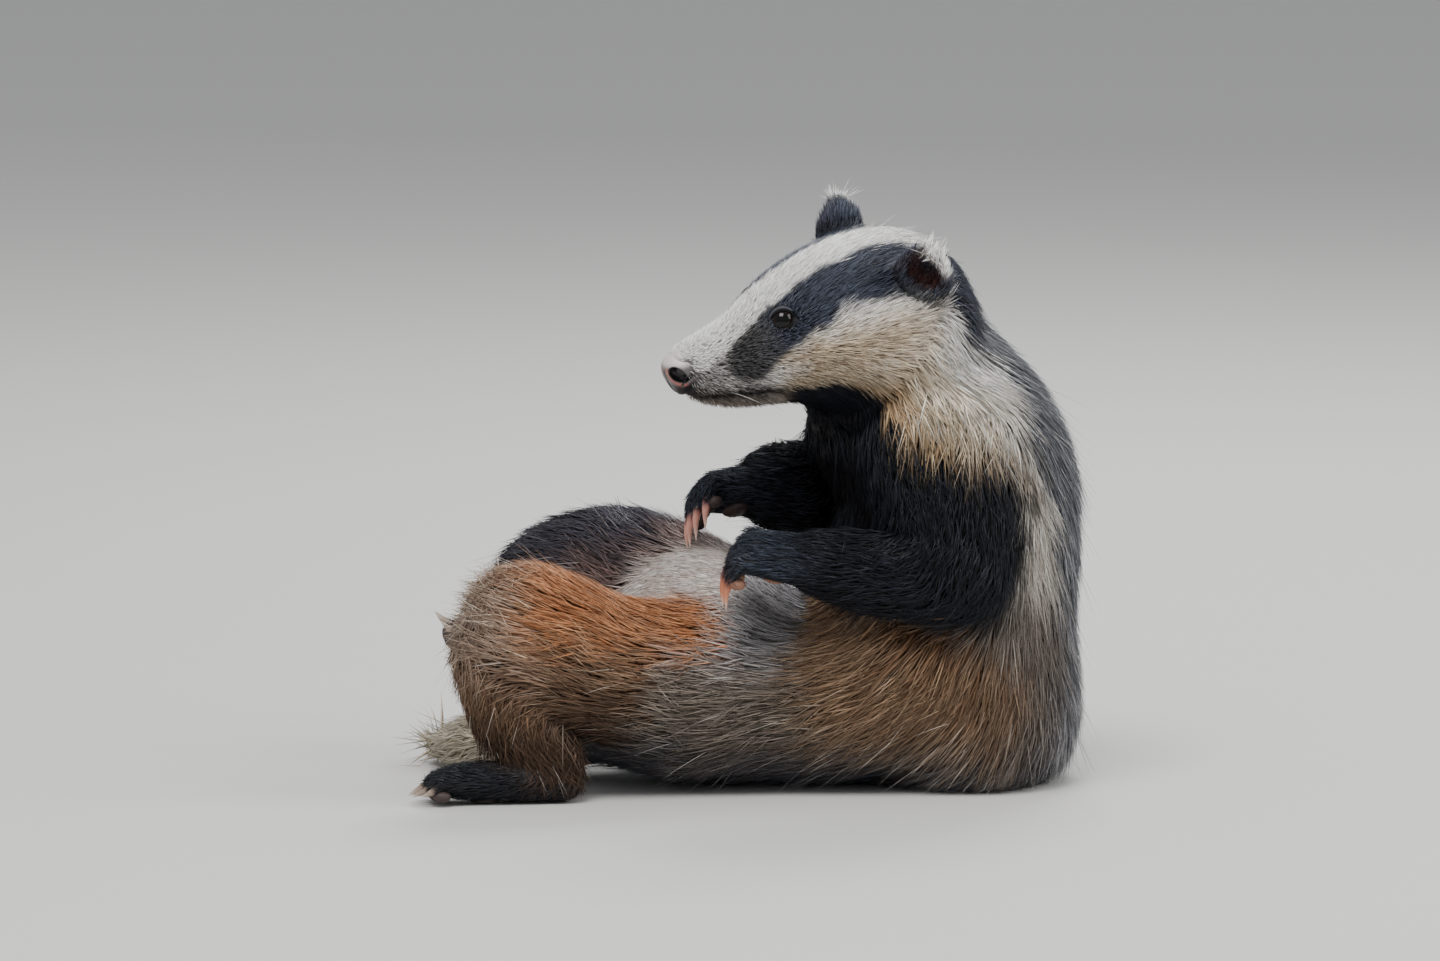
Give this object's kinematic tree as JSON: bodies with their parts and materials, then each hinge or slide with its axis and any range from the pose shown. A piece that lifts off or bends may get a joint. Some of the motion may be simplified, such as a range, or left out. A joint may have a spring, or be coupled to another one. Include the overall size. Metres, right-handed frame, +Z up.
{
  "type": "european badger",
  "caption": "Young badger model sitting back on its rump, head turned over one shoulder, forepaws resting on its belly and hind legs drawn up.",
  "frame": {"origin": "on the flat under the belly-side of the rump, where the animal sits on the floor, between its hips and its loins", "axes": "+Z up, -X the way the head and the hind legs point, so the back faces +X, and -Y the animal's left, the side that faces the picture's camera"},
  "size_m": [0.2847, 0.1865, 0.2438],
  "materials": {
    "face_coat": "short white and cream hair with black eye stripes",
    "black_coat": "short soft black hair with a faint blue sheen",
    "grizzled_coat": "long coarse hair banded black and white",
    "flank_coat": "long coarse brown hair with cream tips",
    "tail_coat": "long pale buff hair",
    "nose_skin": "moist dark pebbled skin, pinkish at the front rim",
    "claw_horn": "semi-gloss pinkish horn, darker at the root",
    "eye_surface": "wet high gloss, nearly black brown"
  },
  "bodies": {
    "root": {"head": "face_coat", "nose": "nose_skin", "eye_left": "eye_surface", "eye_right": "eye_surface", "ear_left": "black_coat", "ear_right": "black_coat", "neck": "grizzled_coat", "chest": "grizzled_coat", "abdomen": "flank_coat", "loins": "flank_coat", "tail": "tail_coat", "upperarm_left": "black_coat", "foreleg_left": "black_coat", "forepaw_left": "black_coat", "upperarm_right": "black_coat", "foreleg_right": "black_coat", "forepaw_right": "black_coat", "thigh_left": "flank_coat", "shin_left": "flank_coat", "hindfoot_left": "black_coat", "thigh_right": "flank_coat", "shin_right": "black_coat", "hindfoot_right": "black_coat", "fore_claw_left_1": "claw_horn", "fore_claw_left_2": "claw_horn", "fore_claw_left_3": "claw_horn", "fore_claw_left_4": "claw_horn", "fore_claw_left_5": "claw_horn", "fore_claw_right_1": "claw_horn", "fore_claw_right_2": "claw_horn", "fore_claw_right_3": "claw_horn", "fore_claw_right_4": "claw_horn", "fore_claw_right_5": "claw_horn", "hind_claw_left_1": "claw_horn", "hind_claw_left_2": "claw_horn", "hind_claw_left_3": "claw_horn", "hind_claw_left_4": "claw_horn", "hind_claw_left_5": "claw_horn", "hind_claw_right_1": "claw_horn", "hind_claw_right_2": "claw_horn", "hind_claw_right_3": "claw_horn", "hind_claw_right_4": "claw_horn", "hind_claw_right_5": "claw_horn"}
  },
  "joints": []
}
